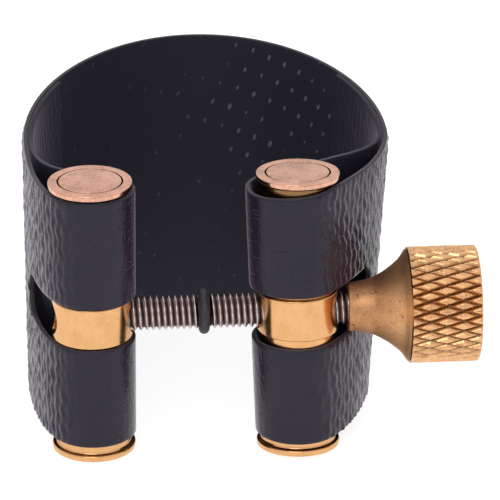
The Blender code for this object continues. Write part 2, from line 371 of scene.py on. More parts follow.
class Shader:
    """The nodes of a material or of the surroundings, round the one shader that they feed."""

    def __init__(self, owner: bpy.types.Material | bpy.types.World, surface: str) -> None:
        """Turns the owner's nodes on.

        Args:
            owner: The material, or the world where the nodes are for the surroundings.
            surface: The name of the shader that the nodes feed.
        """
        owner.use_nodes = True
        self.owner = owner
        self.tree = owner.node_tree
        self.surface = self.tree.nodes[surface]

    @classmethod
    def material(cls, name: str) -> "Shader":
        """The nodes of a new material."""
        return cls(bpy.data.materials.new(name), "Principled BSDF")

    def add(self, kind: str, settings: dict | None = None, inputs: dict | None = None,
            output: str = "") -> Link:
        """Adds any node.

        Args:
            kind: The node's type.
            settings: Its own settings, set first; stops are an eased ramp's (position, grey) pairs.
            inputs: Values or links of its sockets, by socket identifier.
            output: The identifier of the output to return; the first if empty.

        Returns:
            The output.
        """
        node = self.tree.nodes.new(kind)
        for key, value in (settings or {}).items():
            if key == "stops":
                node.color_ramp.interpolation = "EASE"
                for position, _ in value[1:-1]:
                    node.color_ramp.elements.new(position)
                for element, (position, grey) in zip(node.color_ramp.elements, value):
                    element.position = position
                    element.color = (grey, grey, grey, 1.0)
            else:
                setattr(node, key, value)
        self.fill(node, inputs or {})
        outputs = {socket.identifier: socket for socket in node.outputs}
        return Link(self, outputs[output] if output else node.outputs[0])

    def fill(self, node: bpy.types.Node, inputs: dict) -> None:
        """Sets or links a node's inputs.

        Args:
            node: The node.
            inputs: Values or links, by socket identifier.
        """
        sockets = {socket.identifier: socket for socket in node.inputs}
        for key, value in inputs.items():
            if isinstance(value, Link):
                self.tree.links.new(value.socket, sockets[key])
            elif isinstance(value, tuple) and len(value) == 3 and sockets[key].type == "RGBA":
                sockets[key].default_value = (*value, 1.0)
            else:
                sockets[key].default_value = value

    def dress(self, **inputs: "Link | float | Colour") -> bpy.types.Material | bpy.types.World:
        """Sets the shader's own sockets, with _ for a space, and returns what they belong to."""
        self.fill(self.surface, {key.replace("_", " "): value for key, value in inputs.items()})
        return self.owner

    def place(self) -> Link:
        """The pattern's place, a vector in millimetres that each mesh carries."""
        return self.add("ShaderNodeAttribute", {"attribute_name": PLACE}, output="Vector")

    def split(self, vector: Link) -> tuple[Link, Link, Link]:
        """The three numbers of a vector."""
        node = self.add("ShaderNodeSeparateXYZ", inputs={"Vector": vector}).socket.node
        return tuple(Link(self, socket) for socket in node.outputs)

    def join(self, x: "Link | float", y: "Link | float", z: "Link | float") -> Link:
        """A vector of three numbers."""
        return self.add("ShaderNodeCombineXYZ", inputs={"X": x, "Y": y, "Z": z})

    def scaled(self, vector: Link, by: Triple) -> Link:
        """The vector with each number multiplied."""
        values = {"Vector": vector, "Vector_001": by}
        return self.add("ShaderNodeVectorMath", {"operation": "MULTIPLY"}, values)

    def from_axis(self, x: Link, y: Link) -> Link:
        """Distance from the z axis."""
        return (x * x + y * y).apply("SQRT")

    def noise(self, vector: Link, scale: float, detail: float = 2.0, roughness: float = 0.5) -> Link:
        """Smooth noise from 0 to 1, with scale waves to a millimetre."""
        values = {"Vector": vector, "Scale": scale, "Detail": detail, "Roughness": roughness}
        return self.add("ShaderNodeTexNoise", inputs=values)

    def ramp(self, value: Link, low: float, high: float, first: float = 0.0, last: float = 1.0) -> Link:
        """A smooth step: first where the value is low or less, last where it is high or more."""
        inputs = {"Value": value, "From Min": low, "From Max": high, "To Min": first, "To Max": last}
        return self.add("ShaderNodeMapRange", {"interpolation_type": "SMOOTHSTEP"}, inputs)

    def colours(self, factor: Link, first: "Link | Colour", second: "Link | Colour") -> Link:
        """A colour between two, by the factor."""
        inputs = {"Factor_Float": factor, "A_Color": first, "B_Color": second}
        return self.add("ShaderNodeMix", {"data_type": "RGBA"}, inputs, "Result_Color")

    def bump(self, height: Link) -> Link:
        """A normal from a height in millimetres."""
        return self.add("ShaderNodeBump", inputs={"Height": height, "Distance": MM, "Strength": 1.0})


def dimmed(colour: Colour, share: float) -> Colour:
    """The colour with only a share of its light."""
    return tuple(share * value for value in colour)


@dataclass(frozen=True)
class Leatherette:
    """Vinyl-faced woven band: embossed outside, smooth inside with pale spots that are painted
    highlights of its bumps, pale where it is cut.

    The pattern's place is (distance along the strap, height, side), with side 1 outside and -1 inside.
    """

    outside: Colour = (0.013, 0.0080, 0.022)
    hollows: Colour = (0.005, 0.0035, 0.009)
    inside: Colour = (0.0085, 0.0072, 0.018)
    # Colour of the painted highlights: pale spots on the lining's bumps.
    flecks: Colour = (0.085, 0.08, 0.105)
    cut: Colour = (0.035, 0.03, 0.039)
    cut_dark: Colour = (0.012, 0.010, 0.015)
    # Lattice steps and spot size of the painted highlights.
    fleck_step: tuple[float, float] = (1.5, -0.4)
    fleck_rise: tuple[float, float] = (0.66, 1.8)
    fleck_width: float = 0.13
    fleck_length: float = 0.24
    flap_starts: float = 57.0
    flap_ends: float = 61.0
    crease_waves: Triple = (1.5, 0.45, 0.0)
    dash_waves: Triple = (0.9, 5.5, 0.0)
    fibre_waves: Triple = (3.0, 3.0, 6.0)
    furrow_width: float = 0.07
    grain_height: float = 0.007
    furrow_depth: float = 0.009
    dash_depth: float = 0.022
    fibre_height: float = 0.03
    # The patch of the lining where the painted highlights are strongest.
    worn_along: float = 9.0
    worn_height: float = 19.5
    worn_reach: float = 9.0
    outside_roughness: float = 0.23
    inside_roughness: float = 0.62
    ior: float = 1.38
    sheen: float = 0.38
    sheen_roughness: float = 0.3
    sheen_tint: Colour = (0.98, 0.82, 1.0)

    def make(self) -> bpy.types.Material:
        """Builds the material.

        Returns:
            The material.
        """
        shader = Shader.material("leatherette")
        place = shader.place()
        along, height, side = shader.split(place)
        grain = shader.noise(place, 7.0, 3.0, 0.6)
        cloud = shader.noise(place, 0.25, 2.0)
        is_inside = shader.ramp(side, -0.55, -0.85)
        is_cut = shader.ramp(side.apply("ABSOLUTE"), 0.93, 0.7)
        crease = shader.noise(shader.scaled(place, self.crease_waves), 1.0, 3.0, 0.6)
        furrow = shader.ramp((crease - 0.5).apply("ABSOLUTE"), self.furrow_width, 0.0)
        dashes = shader.noise(shader.scaled(place, self.dash_waves), 1.0, 2.0, 0.5)
        dash = shader.ramp(dashes, 0.62, 0.72)
        sunk = furrow * 0.15 + dash * 0.9
        is_raised = shader.ramp(grain + 0.3 * cloud - 0.5 * sunk, 0.3, 0.8)
        outside = shader.colours(is_raised, self.hollows, self.outside)
        # The lining's colour, with painted highlights as pale spots on its bumps.
        inside = shader.colours(self.flecked(shader, along, height, grain), self.inside, self.flecks)
        fibre = shader.noise(shader.scaled(place, self.fibre_waves), 1.0, 3.0, 0.7)
        cut = shader.colours(shader.ramp(fibre, 0.35, 0.62), self.cut_dark, self.cut)
        is_flap = shader.ramp(along.apply("ABSOLUTE"), self.flap_starts, self.flap_ends)
        calm = is_flap + is_inside * (1 - is_flap)
        faces = shader.colours(is_inside, shader.colours(is_flap, outside, self.inside), inside)
        colour = shader.colours(is_cut, faces, cut)
        smoothness = self.outside_roughness + (self.inside_roughness - self.outside_roughness) * calm
        roughness = smoothness + 0.25 * is_cut + 0.12 * (grain - 0.5) + 0.2 * dash * (1 - calm)
        proud = self.grain_height * grain - self.furrow_depth * furrow - self.dash_depth * dash
        relief = proud * (1 - 0.75 * calm) * (1 - is_cut) + self.fibre_height * fibre * is_cut
        return shader.dress(Base_Color=colour, Roughness=roughness, IOR=self.ior,
                            Sheen_Weight=self.sheen, Sheen_Roughness=self.sheen_roughness,
                            Sheen_Tint=self.sheen_tint, Normal=shader.bump(relief))

    def flecked(self, shader: Shader, along: Link, height: Link, grain: Link) -> Link:
        """Where the painted highlights of the lining's bumps lie, as pale spots: 1 on a highlight.

        Args:
            shader: The material's shader.
            along: Distance along the strap.
            height: Height on the strap.
            grain: Fine noise, which makes the highlights uneven.

        Returns:
            The mask.
        """
        (right, down), (across, up) = self.fleck_step, self.fleck_rise
        area = right * up - down * across
        column = ((up * along - across * height) / area).apply("FRACT") - 0.5
        row = ((right * height - down * along) / area).apply("FRACT") - 0.5
        patches = shader.noise(shader.join(along, height, 0.0), 0.45, 2.0)
        # Painted highlights grow larger and brighter towards one patch.
        off_patch = ((along - self.worn_along) ** 2.0 + (height - self.worn_height) ** 2.0).apply("SQRT")
        in_glint_patch = shader.ramp(off_patch, self.worn_reach, 0.5 * self.worn_reach)
        oval = (column * (right / self.fleck_width)) ** 2.0 + (row * (up / self.fleck_length)) ** 2.0
        distance = oval + 3.0 * (grain - 0.5) + 6.0 * (0.62 - patches) - in_glint_patch
        return shader.ramp(distance, 1.0, 0.1) * (0.4 + 0.6 * in_glint_patch)


@dataclass(frozen=True)
class TurnedMetal:
    """Turned and polished metal, with the tool's fine rings, a pinker, duller end face, and painted
    shade on the sleeve just under the flange.

    The pattern's place is about the piece's own axis, which is z.
    """

    name: str
    side: Colour
    end: Colour
    end_height: float
    roughness: float = 0.15
    end_roughness: float = 0.30
    ring_depth: float = 0.004
    speck_height: float = 0.002
    mottle: float = 0.4
    tarnished: float = 0.62
    dulled: float = 0.64
    # How much light is left in the painted shade under the flange.
    grimy: float = 0.22

    def make(self) -> bpy.types.Material:
        """Builds the material.

        Returns:
            The material.
        """
        shader = Shader.material(self.name)
        place = shader.place()
        x, y, z = shader.split(place)
        radius = shader.from_axis(x, y)
        up = z.apply("ABSOLUTE")
        is_flange = shader.ramp(z, self.end_height - 0.5, self.end_height - 0.44)
        is_end = shader.ramp(up, self.end_height - 0.03, self.end_height - 0.005)
        # Where the painted shade falls: the sleeve just under the upper flange.
        below_flange = shader.ramp(z, self.end_height - 1.5, self.end_height - 0.9) * (1 - is_flange)
        cloud = shader.noise(place, 0.8, 3.0, 0.6)
        speck = shader.noise(place, 6.0, 2.0, 0.6)
        side_rings = shader.noise(shader.join(0.0, 0.0, z), 14.0, 2.0, 0.7)
        end_rings = shader.noise(shader.join(radius, 0.0, 0.0), 11.0, 2.0, 0.7)
        tarnish = self.mottle * shader.ramp(0.6 * cloud + 0.4 * speck, 0.42, 0.7)
        unshaded_side = shader.colours(tarnish, self.side, dimmed(self.side, self.tarnished))
        # Painted shade darkens the side under the flange.
        side = shader.colours(0.85 * below_flange, unshaded_side, dimmed(self.side, self.grimy))
        is_dull = shader.ramp(0.5 * speck + 0.5 * cloud, 0.38, 0.66)
        end = shader.colours(is_dull, self.end, dimmed(self.end, self.dulled))
        smoothness = self.roughness + (self.end_roughness - self.roughness) * is_end
        roughness = smoothness + 0.14 * (cloud - 0.4)
        rings = side_rings * (1 - is_end) + end_rings * is_end
        relief = self.ring_depth * rings + self.speck_height * speck
        return shader.dress(Base_Color=shader.colours(is_flange, side, end), Metallic=1.0,
                            Roughness=roughness, Normal=shader.bump(relief))


@dataclass(frozen=True)
class RawMetal:
    """Raw turned and knurled brass, with dark pits, scratches, and painted shade deep in the knurl's
    cuts.

    The pattern's place is about the knob's own axis, which is z.
    """

    bright: Colour = (0.80, 0.45, 0.22)
    brown: Colour = (0.44, 0.21, 0.10)
    # Dark of the pits, and of the painted shade deep in the cuts.
    dirt: Colour = (0.07, 0.035, 0.02)
    rim: float = 17.5
    outer: float = 4.82
    face: float = 23.35
    roughness: float = 0.46
    grip_roughness: float = 0.19
    neck_browning: float = 0.7
    speck_height: float = 0.006
    ring_depth: float = 0.004
    pit_depth: float = 0.012

    def make(self) -> bpy.types.Material:
        """Builds the material.

        Returns:
            The material.
        """
        shader = Shader.material("knob_raw_brass")
        place = shader.place()
        x, y, z = shader.split(place)
        radius = shader.from_axis(x, y)
        is_grip = shader.ramp(z, self.rim - 0.05, self.rim + 0.05)
        cloud = shader.noise(place, 0.9, 4.0, 0.65)
        speck = shader.noise(place, 5.0, 3.0, 0.65)
        rings = shader.noise(shader.join(0.0, 0.0, z), 9.0, 3.0, 0.7)
        before_face = shader.ramp(z, self.face - 0.05, self.face - 0.15)
        depth = shader.ramp(self.outer - radius, 0.06, 0.26) * is_grip * before_face
        neck = self.neck_browning * (1 - is_grip) * shader.ramp(z, self.rim - 0.6, self.rim - 2.5)
        browning = shader.ramp(0.55 * cloud + 0.45 * speck + 0.2 * (rings - 0.5), 0.36, 0.66)
        warm = shader.colours(0.35 * browning + neck, self.bright, self.brown)
        pits = shader.ramp(speck + 0.4 * cloud, 0.80, 0.93)
        # Pits are dark marks; the darkening deep in the cuts is painted shade.
        pits_and_cut_shade = 0.8 * depth * depth + 0.8 * pits * (1 - depth)
        colour = shader.colours(pits_and_cut_shade, warm, self.dirt)
        smoothness = self.roughness + (self.grip_roughness - self.roughness) * is_grip
        roughness = smoothness + 0.25 * (cloud - 0.4) + 0.25 * pits_and_cut_shade
        end_rings = shader.noise(shader.join(radius, 0.0, 0.0), 5.0, 3.0, 0.7)
        is_face = shader.ramp(z, self.face - 0.04, self.face - 0.01)
        turning = self.ring_depth * rings * (1 - is_grip) + self.speck_height * end_rings * is_face
        relief = self.speck_height * speck + turning - self.pit_depth * pits
        return shader.dress(Base_Color=colour, Metallic=1.0, Roughness=roughness,
                            Normal=shader.bump(relief))


@dataclass(frozen=True)
class ThreadMetal:
    """Machined steel: bright crests, with painted shade darkening the flanks and roots."""

    bright: Colour = (0.60, 0.50, 0.49)
    root: Colour = (0.12, 0.08, 0.075)
    crest_radius: float = 1.46
    root_radius: float = 1.17
    roughness: float = 0.24

    def make(self) -> bpy.types.Material:
        """Builds the material.

        Returns:
            The material.
        """
        shader = Shader.material("screw_steel")
        place = shader.place()
        x, y, _ = shader.split(place)
        radius = shader.from_axis(x, y)
        crest = shader.ramp(radius, self.root_radius, self.crest_radius - 0.03)
        cloud = shader.noise(place, 1.6, 3.0, 0.6)
        speck = shader.noise(place, 9.0, 2.0, 0.6)
        patchy = shader.ramp(cloud, 0.2, 0.5, 0.75, 1.0)
        # Painted shade: the colour darkens down the flanks into the roots, and the crests vary at
        # random.
        colour = shader.colours(crest * patchy, self.root, self.bright)
        roughness = self.roughness + 0.2 * (speck - 0.4) + 0.15 * (1 - crest)
        return shader.dress(Base_Color=colour, Metallic=1.0, Roughness=roughness,
                            Normal=shader.bump(0.003 * speck))


@dataclass(frozen=True)
class Rubber:
    """Matt black rubber with a faint bloom."""

    black: Colour = (0.012, 0.009, 0.012)
    bloom: Colour = (0.035, 0.03, 0.036)

    def make(self) -> bpy.types.Material:
        """Builds the material.

        Returns:
            The material.
        """
        shader = Shader.material("ring_rubber")
        place = shader.place()
        cloud = shader.noise(place, 3.0, 4.0, 0.65)
        fine = shader.noise(place, 14.0, 2.0, 0.5)
        colour = shader.colours(shader.ramp(cloud, 0.4, 0.75), self.black, self.bloom)
        return shader.dress(Base_Color=colour, Roughness=0.45 + 0.2 * cloud,
                            Normal=shader.bump(0.004 * fine))


# --- posts ----------------------------------------------------------------------------------------


@dataclass(frozen=True)
class Post:
    """A turned core with a collar, drilled for the screw, and a flanged sleeve on either end."""

    side: Side
    drawing: Drawing
    finish: bpy.types.Material
    lean: float = 0.0
    hole_radius: float = 1.58
    core_radius: float = 2.58
    collar_radius: float = 3.33
    collar_height: float = 3.54
    sleeve_bore: float = 2.70
    sleeve_radius: float = 3.04
    seat_gap: float = 0.02
    flange_radius: float = 3.47
    flange_thickness: float = 0.52
    soft_edge: float = 0.16
    cove: float = 0.25
    crisp_edge: float = 0.06
    seat_edge: float = 0.03
    edge_steps: int = 6
    segments: int = 144
    hole_segments: int = 96

    def build(self) -> list[bpy.types.Object]:
        """Builds the core and both sleeves.

        Returns:
            The three pieces.
        """
        to_frame = self.drawing.post_axis(self.side, self.lean)
        word = self.side.word
        core = make_piece(f"{word}_core", self.core(), to_frame, self.finish)
        pieces = [self.settle(core, f"{word}_post_core")]
        for level, up in (("upper", 1), ("lower", -1)):
            mesh = turn(self.sleeve(up), self.segments)
            piece = make_piece(f"{word}_{level}_top_hat_sleeve", mesh, to_frame, self.finish)
            pieces.append(self.settle(piece, f"{word}_{level}_sleeve"))
        return pieces

    def settle(self, piece: bpy.types.Object, node: str) -> bpy.types.Object:
        """Puts a piece on the post's body in place of its plain node.

        Args:
            piece: The piece.
            node: The node that it stands for.

        Returns:
            The piece.
        """
        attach(piece, f"{self.side.word}_pillar")
        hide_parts(node)
        return piece

    def core(self) -> bpy.types.Mesh:
        """The core, from one end face over the collar to the other, with the cross hole.

        Returns:
            The mesh.
        """
        end = SCREW_Z
        collar = self.collar_height / 2
        upper = [(self.collar_radius, collar, self.soft_edge), (self.core_radius, collar, 0.0),
                 (self.core_radius, end, self.crisp_edge), (0.0, end, 0.0)]
        lower = [(radius, -height, cut) for radius, height, cut in reversed(upper)]
        blank = turn(rounded(lower + upper), self.segments)
        return drilled(blank, self.hole_radius, 3 * self.collar_radius, self.hole_segments)

    def sleeve(self, up: int) -> Outline:
        """A top-hat sleeve's outline.

        Args:
            up: 1 for the upper sleeve and -1 for the lower.

        Returns:
            The closed outline.
        """
        start = self.collar_height / 2 + self.seat_gap
        shoulder = SCREW_Z - self.flange_thickness
        corners = [(self.sleeve_bore, start, self.seat_edge),
                   (self.sleeve_radius, start, self.seat_edge),
                   (self.sleeve_radius, shoulder, self.cove),
                   (self.flange_radius, shoulder, self.soft_edge),
                   (self.flange_radius, SCREW_Z, self.soft_edge),
                   (self.sleeve_bore, SCREW_Z, self.crisp_edge)]
        return [(radius, up * height) for radius, height in rounded(corners, self.edge_steps)]


# --- thumb screw ----------------------------------------------------------------------------------


@dataclass(frozen=True)
class ThumbScrew:
    """A threaded rod pressed into a knurled knob, with a rubber ring in a groove of the rod."""

    drawing: Drawing
    rod_finish: bpy.types.Material
    knob_finish: bpy.types.Material
    ring_finish: bpy.types.Material
    pitch: float = 0.507
    crest_radius: float = 1.46
    root_radius: float = 1.17
    flank_share: float = 0.44
    root_flat: float = 0.06
    crest_flat: float = 1.08
    tip: float = -11.3
    tip_chamfer: float = 0.30
    rod_end: float = 20.6
    ring_at: float = 0.7
    groove_radius: float = 1.0
    groove_width: float = 1.0
    cord: float = 0.88
    ring_inner: float = 1.02
    knob_start: float = 12.6
    knob_end: float = 23.35
    knob_bore: float = 1.48
    bore_clearance: float = 0.02
    rim_start: float = 17.4
    rim_height: float = 17.56
    rim_radius: float = 4.72
    grip_start: float = 17.6
    grip_radius: float = 4.82
    bevel: float = 0.22
    face_rings: tuple[float, ...] = (3.9, 2.6, 1.3, 0.0)
    neck: tuple[tuple[float, float], ...] = (
        (1.94, 12.6), (2.02, 12.68), (2.05, 13.2), (2.27, 14.36),
        (2.52, 15.02), (3.08, 15.97), (3.86, 16.92), (4.55, 17.42))
    knurls: int = 34
    knurl_slope: float = math.radians(17.75)
    knurl_depth: tuple[float, float] = (0.32, 0.26)
    knurl_half_width: float = 0.25
    knurl_reach: float = 0.32
    rim_fade: float = 0.12
    steps_per_turn: int = 40
    steps_per_pitch: int = 12
    steps_per_knurl: int = 14
    neck_steps: int = 5
    grip_rows: int = 64
    bevel_steps: int = 4
    ring_segments: int = 96
    cord_steps: int = 28

    def build(self) -> list[bpy.types.Object]:
        """Builds the rod, the knob and the rubber ring.

        Returns:
            The three pieces.
        """
        axis = self.drawing.screw_axis()
        rod = make_piece("threaded_rod", self.rod(), axis, self.rod_finish, sharp_degrees=60)
        knob = make_piece("knurled_knob", self.knob(), axis, self.knob_finish, sharp_degrees=38)
        ring = make_piece("rubber_ring", turn(self.ring(), self.ring_segments), axis, self.ring_finish)
        for piece, node, slot in ((rod, "screw", "screw_steel"), (knob, "knob", "knob_brass"),
                                  (ring, "o_ring", "rubber")):
            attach(piece, "thumb_screw")
            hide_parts(node)
        return [rod, knob, ring]

    def thread_radius(self, share: float, x: float) -> float:
        """The rod's radius.

        Args:
            share: How far across one turn of the thread, 0 to 1 from one root to the next.
            x: Distance along the rod.

        Returns:
            The radius, with the groove and the tip's chamfer taken off.
        """
        if abs(x - self.ring_at) < self.groove_width / 2:
            return self.groove_radius
        flank = min(1.0, max(0.0, (0.5 - abs(share - 0.5)) / self.flank_share - self.root_flat))
        rise = min(1.0, flank * self.crest_flat)
        radius = self.root_radius + (self.crest_radius - self.root_radius) * rise
        to_end = min(x - self.tip, self.rod_end - x)
        return min(radius, self.crest_radius - self.tip_chamfer + to_end)

    def rod(self) -> bpy.types.Mesh:
        """The threaded rod, as rows that follow the helix from tip to end.

        Returns:
            The mesh.
        """
        work = bmesh.new()
        turns = math.ceil((self.rod_end - self.tip) / self.pitch) + 1
        rows = turns * self.steps_per_pitch
        grid = []
        for row in range(rows + 1):
            line = []
            for step in range(self.steps_per_turn):
                share = step / self.steps_per_turn
                x = self.tip + self.pitch * (row / self.steps_per_pitch + share - 1)
                x = min(self.rod_end, max(self.tip, x))
                radius = self.thread_radius(row / self.steps_per_pitch % 1, x)
                angle = 2 * math.pi * share
                line.append(work.verts.new((radius * math.cos(angle), radius * math.sin(angle), x)))
            grid.append(line)
        last = self.steps_per_turn - 1
        for row, (line, above) in enumerate(zip(grid, grid[1:])):
            for step in range(last):
                work.faces.new((line[step], line[step + 1], above[step + 1], above[step]))
            across = row + self.steps_per_pitch
            if across < rows:
                work.faces.new((line[last], grid[across][0], grid[across + 1][0], above[last]))
        steps = range(1, self.steps_per_pitch + 1)
        work.faces.new(grid[0] + [grid[row][0] for row in reversed(steps)])
        work.faces.new(grid[rows] + [grid[rows - row][last] for row in steps])
        return finish_mesh(work)

    def knurled(self, radius: float, x: float, angle: float) -> float:
        """The grip's radius where the two families of slanting cuts cross it.

        Args:
            radius: The radius before the cuts.
            x: Distance along the knob.
            angle: Angle round the axis.

        Returns:
            The radius after the cuts.
        """
        if not self.rim_start < x <= self.knob_end or radius < self.grip_radius - self.knurl_reach:
            return radius
        twist = (x - self.grip_start) * math.tan(self.knurl_slope) / self.grip_radius
        fade = min(1.0, max(0.0, (x - self.grip_start) / self.rim_fade))
        deepest = 0.0
        for depth, way in zip(self.knurl_depth, (1, -1)):
            cut = (self.knurls * (angle + way * twist) / (2 * math.pi)) % 1
            beside = abs(cut - 0.5) / self.knurl_half_width
            deepest = max(deepest, fade * depth * max(0.0, 1 - beside))
        return min(radius, self.grip_radius - deepest)

    def knob(self) -> bpy.types.Mesh:
        """The knob: a neck that flares like a trumpet into the knurled grip.

        Returns:
            The mesh.
        """
        neck = smooth_line(self.neck, self.neck_steps)
        rim = [(self.rim_radius, self.rim_height), (self.grip_radius, self.grip_start)]
        grip_length = self.knob_end - self.bevel - self.grip_start
        grip = [(self.grip_radius, self.grip_start + grip_length * row / self.grip_rows)
                for row in range(1, self.grip_rows)]
        quarter = [math.pi / 2 * step / self.bevel_steps for step in range(self.bevel_steps + 1)]
        bevel = [(self.grip_radius - self.bevel * (1 - math.cos(angle)),
                  self.knob_end - self.bevel * (1 - math.sin(angle))) for angle in quarter]
        face = [(radius, self.knob_end) for radius in self.face_rings]
        bore_end = self.rod_end + self.bore_clearance
        bore = [(0.0, bore_end), (self.knob_bore, bore_end), (self.knob_bore, self.knob_start)]
        outline = bore + neck + rim + grip + bevel + face
        return turn(outline, self.knurls * self.steps_per_knurl, self.knurled)

    def ring(self) -> Outline:
        """The rubber ring's round cord.

        Returns:
            The closed outline.
        """
        half = self.cord / 2
        middle = self.ring_inner + half
        angles = [2 * math.pi * step / self.cord_steps for step in range(self.cord_steps)]
        return [(middle + half * math.cos(a), self.ring_at + half * math.sin(a)) for a in angles]


# --- strap ----------------------------------------------------------------------------------------


@dataclass(frozen=True)
class HalfStrap:
    """The path of one half of the strap: along the ring's wall, round the post and back inside the wall.

    Its own x counts outwards from the middle of the ring on either side.
    """

    side: Side
    half_spacing: float
    side_x_top: float
    side_x_bottom: float
    lean: float
    wall_leaves: float
    flap_leaves: float
    wall_handles: tuple[float, float]
    flap_handles: tuple[float, float]
    slack_top: float
    edge_drop: float
    window_half: float
    window_wall_end: float
    thickness: float = 0.4
    glue_gap: float = 0.03
    loop_radius: float = 3.3
    ring_depth: float = 27.4
    ring_side_y: float = 9.7
    flap_end_y: float = 20.0
    top_front: float = 23.1
    top_rise: float = 3.0
    bottom_front: float = 1.35
    edge_power: float = 1.3
    drop_fades: float = 5.0
    window_past_loop: float = 2.4
    window_least: float = 0.35
    wall_steps: int = 180
    side_steps: int = 70
    loop_steps: int = 84
    flap_steps: int = 40
    glued_steps: int = 50

    @property
    def loop_start(self) -> int:
        """The number of the column where the loop begins."""
        return self.wall_steps + self.side_steps

    @property
    def loop_end(self) -> int:
        """The number of the column where the loop ends."""
        return self.loop_start + self.loop_steps

    def side_x(self, height: float) -> float:
        """How far out this side's outer face stands at a height."""
        return self.side_x_bottom + (self.side_x_top - self.side_x_bottom) * height / self.top_front

    def loop_point(self, height: float, angle: float) -> Vector:
        """A point of the loop round the post, which stands off the post on its inner side.

        Args:
            height: The point's height.
            angle: The angle round the post, from this side's own x.

        Returns:
            The point.
        """
        lean = math.tan(self.lean) * (height - SCREW_Z)
        slack = self.slack_top * height / self.top_front * max(0.0, -math.cos(angle)) ** 2
        radius = self.loop_radius + slack
        return Vector((self.half_spacing + radius * math.cos(angle), lean + radius * math.sin(angle)))

    def rise(self, y: float) -> float:
        """0 at the front of the ring to 1 at its back, gently at first."""
        share = (y - self.loop_radius) / (self.ring_depth - self.loop_radius)
        return min(1.0, max(0.0, share)) ** self.edge_power

    def edges(self, point: Vector, lowest: float) -> tuple[float, float]:
        """The strap's lower and upper edge where its centre line passes a point.

        Args:
            point: The point of the centre line.
            lowest: The height that the lower edge comes down to at the back.

        Returns:
            The two heights.
        """
        rise = self.rise(point.y)
        inner_x = self.half_spacing - self.loop_radius
        near_loop = max(0.0, 1 - abs(point.x - inner_x) / (2 * self.loop_radius))
        drop = self.edge_drop * near_loop * max(0.0, 1 - self.drop_fades * rise)
        top = self.top_front + self.top_rise * rise - drop
        return self.bottom_front + (lowest - self.bottom_front) * rise, top

    def path(self, height: float, other: "HalfStrap") -> list[Vector]:
        """The strap's centre line at one height.

        Args:
            height: The height.
            other: The other half, which sets the ring's middle and width with this one.

        Returns:
            Points from the back of the ring to the end of the glued flap.
        """
        centre = (self.side_x(height) - other.side_x(height)) / 2

        def oval(inset: float, first: float, last: float, steps: int) -> list[Vector]:
            """Points on the wall's oval.

            Args:
                inset: How far inside the wall's outer face.
                first: The first point's angle.
                last: The last point's angle.
                steps: Steps between them.

            Returns:
                The points.
            """
            half_width = (self.side_x(height) + other.side_x(height)) / 2 - inset
            half_depth = self.ring_depth - self.ring_side_y - inset
            angles = [first + (last - first) * i / steps for i in range(steps + 1)]
            return [Vector((centre + half_width * math.cos(angle),
                            self.ring_side_y + half_depth * math.sin(angle))) for angle in angles]

        middle = self.thickness / 2
        back = math.acos(-centre / ((self.side_x(height) + other.side_x(height)) / 2 - middle))
        points = oval(middle, back, 0.0, self.wall_steps)
        down, out = self.wall_handles
        loop = self.loop_point(height, self.wall_leaves)
        bend = (points[-1] - Vector((0, down)), loop - out * clockwise(self.wall_leaves))
        points += cubic(points[-1], *bend, loop, self.side_steps)
        turned = self.flap_leaves - self.wall_leaves
        for i in range(1, self.loop_steps + 1):
            points.append(self.loop_point(height, self.wall_leaves + turned * i / self.loop_steps))
        flap_end = math.asin((self.flap_end_y - self.ring_side_y) / (self.ring_depth - self.ring_side_y))
        glued = oval(middle + self.thickness + self.glue_gap, 0.0, flap_end, self.glued_steps)
        out, down = self.flap_handles
        bend = (points[-1] + out * clockwise(self.flap_leaves), glued[0] - Vector((0, down)))
        points += cubic(points[-1], *bend, glued[0], self.flap_steps)
        return points + glued[1:]

    def window(self, points: list[Vector]) -> list[float | None]:
        """The window's half height at each column, or None where the strap is whole.

        Args:
            points: The centre line at the screw's height.

        Returns:
            One value for each point.
        """
        lengths = distances(points)
        first = next(i for i, point in enumerate(points) if point.y < self.window_wall_end)
        reach_end = lengths[self.loop_end] + self.window_past_loop
        last = next(i for i in range(self.loop_end, len(points)) if lengths[i] > reach_end)
        halves: list[float | None] = []
        for length in lengths:
            inside = min(length - lengths[first], lengths[last] - length)
            reach = min(max(0.0, inside), self.window_half)
            round_end = math.sqrt(max(0.0, self.window_half ** 2 - (self.window_half - reach) ** 2))
            halves.append(max(self.window_least, round_end) if inside >= 0 else None)
        return halves


def clockwise(angle: float) -> Vector:
    """The direction of travel round a loop at this angle."""
    return Vector((math.sin(angle), -math.cos(angle)))


def cubic(start: Vector, pull: Vector, push: Vector, end: Vector, steps: int) -> list[Vector]:
    """Points along a cubic curve, without its first point.

    Args:
        start: Where it starts.
        pull: The start's handle.
        push: The end's handle.
        end: Where it ends.
        steps: How many points.

    Returns:
        The points.
    """
    points = []
    for i in range(1, steps + 1):
        t = i / steps
        near = (1 - t) ** 3 * start + 3 * (1 - t) ** 2 * t * pull
        points.append(near + 3 * (1 - t) * t * t * push + t ** 3 * end)
    return points


def distances(points: Sequence[Vector]) -> list[float]:
    """The distance along a path to each of its points.

    Args:
        points: The path.

    Returns:
        One distance for each point.
    """
    lengths = [0.0]
    for before, after in zip(points, points[1:]):
        lengths.append(lengths[-1] + (after - before).length)
    return lengths


def side_normals(points: Sequence[Vector]) -> list[Vector]:
    """The unit normals of a path, to the left of its direction of travel.

    Args:
        points: The path.

    Returns:
        One normal for each point.
    """
    normals = []
    for i in range(len(points)):
        travel = points[min(i + 1, len(points) - 1)] - points[max(i - 1, 0)]
        normals.append(Vector((-travel.y, travel.x)).normalized())
    return normals


